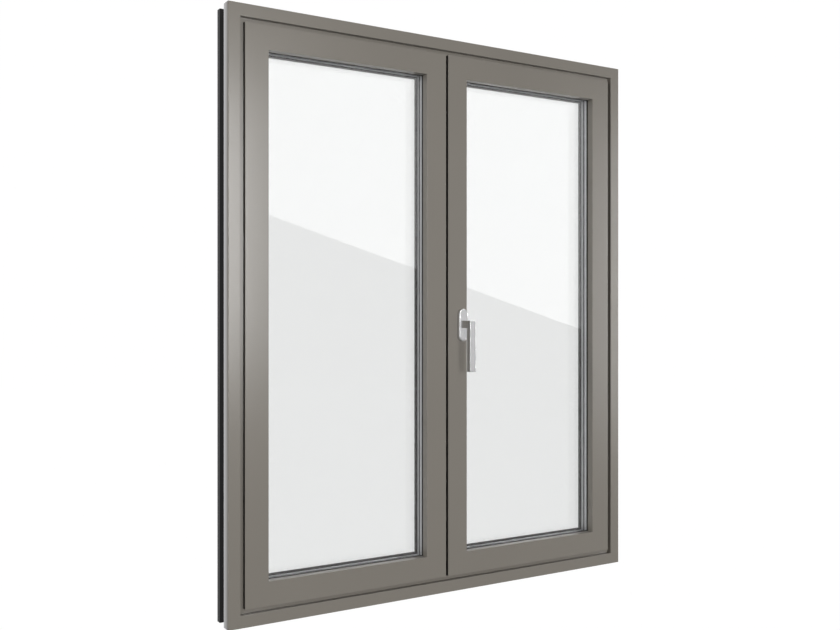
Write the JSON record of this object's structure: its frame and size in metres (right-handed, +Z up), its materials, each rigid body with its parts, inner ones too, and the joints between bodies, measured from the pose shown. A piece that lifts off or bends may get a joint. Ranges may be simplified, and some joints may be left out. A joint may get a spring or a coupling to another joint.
{
  "type": "two-sash aluminium casement window",
  "caption": "Aluminium window with two mitred sashes side by side, thermally broken frame, triple glazing and a lever handle on the meeting stile.",
  "frame": {"origin": "underside of the sill's inner shell, half way along it and half way through it", "axes": "+X right as seen from the room, +Y from the room outwards, +Z up"},
  "size_m": [1.23, 0.133, 1.48],
  "materials": {
    "room_paint": "satin powder coat, grey brown",
    "outer_paint": "matt powder coat, near black",
    "polyamide": "glass-filled polyamide, black",
    "black_gasket": "extruded rubber, black",
    "spacer": "rolled edge spacer, matt",
    "packer": "moulded plastic",
    "glass": "clear float glass",
    "handle_metal": "satin anodised",
    "spindle_steel": "plain steel"
  },
  "bodies": {
    "window": {"centre_gasket": "black_gasket", "frame_head_break": "polyamide", "frame_head_inner": "room_paint", "frame_head_outer": "outer_paint", "frame_left_jamb_break": "polyamide", "frame_left_jamb_inner": "room_paint", "frame_left_jamb_outer": "outer_paint", "frame_right_jamb_break": "polyamide", "frame_right_jamb_inner": "room_paint", "frame_right_jamb_outer": "outer_paint", "frame_sill_break": "polyamide", "frame_sill_inner": "room_paint", "frame_sill_outer": "outer_paint", "glazing_beads": "outer_paint", "glazing_packers": "packer", "glazing_spacers": "spacer", "handle_rose": "handle_metal", "inner_glazing_gaskets": "black_gasket", "left_sash_bottom_rail_inner": "room_paint", "left_sash_bottom_rail_outer": "outer_paint", "left_sash_break": "polyamide", "left_sash_glass": "glass", "left_sash_left_stile_inner": "room_paint", "left_sash_left_stile_outer": "outer_paint", "left_sash_right_stile_inner": "room_paint", "left_sash_right_stile_outer": "outer_paint", "left_sash_top_rail_inner": "room_paint", "left_sash_top_rail_outer": "outer_paint", "meeting_profile_break": "polyamide", "meeting_profile_inner": "room_paint", "meeting_profile_outer": "outer_paint", "outer_glazing_gaskets": "black_gasket", "right_sash_bottom_rail_inner": "room_paint", "right_sash_bottom_rail_outer": "outer_paint", "right_sash_break": "polyamide", "right_sash_glass": "glass", "right_sash_left_stile_inner": "room_paint", "right_sash_left_stile_outer": "outer_paint", "right_sash_right_stile_inner": "room_paint", "right_sash_right_stile_outer": "outer_paint", "right_sash_top_rail_inner": "room_paint", "right_sash_top_rail_outer": "outer_paint", "stop_gaskets": "black_gasket"},
    "handle": {"handle_lever": "handle_metal", "handle_spindle": "spindle_steel"}
  },
  "joints": [
    {"name": "handle_turn", "type": "hinge", "parent": "window", "child": "handle", "pos_m": [0.0465, -0.02575, 0.7145], "axis": [0, -1, 0], "range_deg": [0, 90]}
  ]
}
